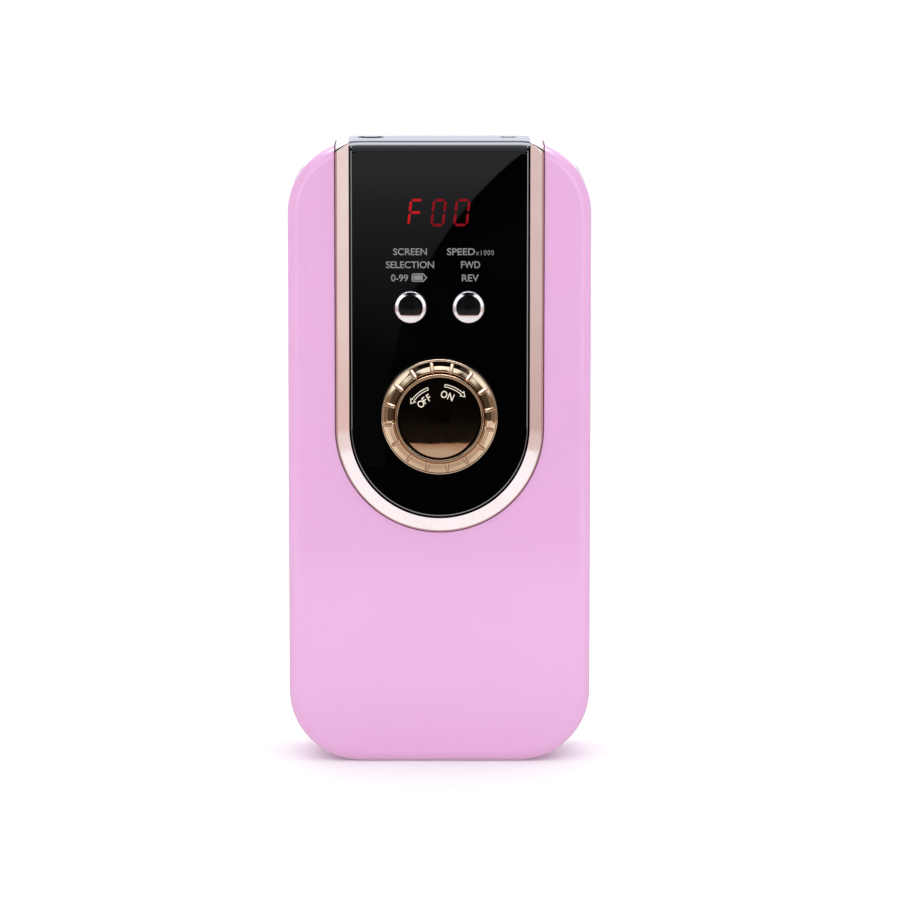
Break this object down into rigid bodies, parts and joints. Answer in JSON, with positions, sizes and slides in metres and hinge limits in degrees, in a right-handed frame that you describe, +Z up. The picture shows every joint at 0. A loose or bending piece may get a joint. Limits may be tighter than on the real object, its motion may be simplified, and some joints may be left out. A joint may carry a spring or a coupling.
{
  "type": "electric nail drill control box",
  "caption": "Upright rounded slab control box for a handheld nail drill, with a U-shaped plated trim, dark display panel, push buttons, speed knob and top sockets.",
  "frame": {"origin": "on the flat base that the box stands on, in the middle of its width, at the middle of the casing's depth", "axes": "+Z up along the length of the box, front face with the knob towards -Y, +X to the right seen from the front"},
  "size_m": [0.075, 0.0346, 0.1555],
  "materials": {
    "pink_gloss": "high gloss pink moulding",
    "rose_chrome": "rose gold mirror plating",
    "black_gloss": "mirror gloss black",
    "gold_chrome": "champagne gold mirror plating",
    "button_chrome": "bright mirror plating",
    "steel": "satin",
    "brass": "satin",
    "nickel": "satin",
    "rubber": "matte",
    "circuit_board": "solder mask, semi gloss",
    "black_plastic": "matte",
    "pale_plastic": "matte",
    "display_red": "lit segments in a dark face",
    "display_grey": "matte",
    "adhesive": "matte",
    "cell_wrap": "printed-free shrink wrap, semi gloss",
    "foam": "matte",
    "label_silver": "satin",
    "red_wire": "matte",
    "black_wire": "matte"
  },
  "bodies": {
    "casing": {"front_shell": "pink_gloss", "rear_shell": "pink_gloss", "trim_bezel": "rose_chrome", "control_panel": "black_gloss", "panel_adhesive": "adhesive", "port_plate": "black_gloss", "rating_label": "label_silver", "potentiometer_body": "nickel", "potentiometer_washer": "steel", "potentiometer_nut": "brass", "switch_body_left": "black_plastic", "battery_cell_left": "cell_wrap", "port_board_screw_left": "steel", "switch_body_right": "black_plastic", "battery_cell_right": "cell_wrap", "port_board_screw_right": "steel", "casing_screw_lower_left": "steel", "board_screw_lower_left": "steel", "rubber_foot_lower_left": "rubber", "casing_screw_lower_right": "steel", "board_screw_lower_right": "steel", "rubber_foot_lower_right": "rubber", "casing_screw_upper_left": "steel", "board_screw_upper_left": "steel", "rubber_foot_upper_left": "rubber", "casing_screw_upper_right": "steel", "board_screw_upper_right": "steel", "rubber_foot_upper_right": "rubber", "display_housing": "display_grey", "display_face": "display_red", "main_board": "circuit_board", "port_board": "circuit_board", "charge_socket": "black_plastic", "charge_socket_pin": "brass", "handpiece_socket": "black_plastic", "microcontroller": "black_plastic", "motor_driver": "black_plastic", "power_inductor": "black_plastic", "capacitor": "black_plastic", "port_header": "pale_plastic", "port_cable": "black_wire", "battery_header": "pale_plastic", "battery_plug": "pale_plastic", "battery_holder": "black_plastic", "cell_link_strip": "nickel", "protection_board": "circuit_board", "battery_foam": "foam", "battery_lead_red": "red_wire", "battery_lead_black": "black_wire"},
    "knob": {"knob_body": "gold_chrome", "knob_cap": "gold_chrome", "potentiometer_shaft": "nickel"},
    "button_left": {"button_cap_left": "button_chrome", "switch_plunger_left": "black_plastic"},
    "button_right": {"button_cap_right": "button_chrome", "switch_plunger_right": "black_plastic"}
  },
  "joints": [
    {"name": "knob_turn", "type": "hinge", "parent": "casing", "child": "knob", "pos_m": [0, -0.014, 0.08755], "axis": [0, 1, 0], "range_deg": [0, 280]},
    {"name": "button_left_press", "type": "slide", "parent": "casing", "child": "button_left", "axis": [0, 1, 0], "range_m": [0, 0.0004], "stiffness_N_per_m": 800, "springref_m": -0.001},
    {"name": "button_right_press", "type": "slide", "parent": "casing", "child": "button_right", "axis": [0, 1, 0], "range_m": [0, 0.0004], "stiffness_N_per_m": 800, "springref_m": -0.001}
  ]
}
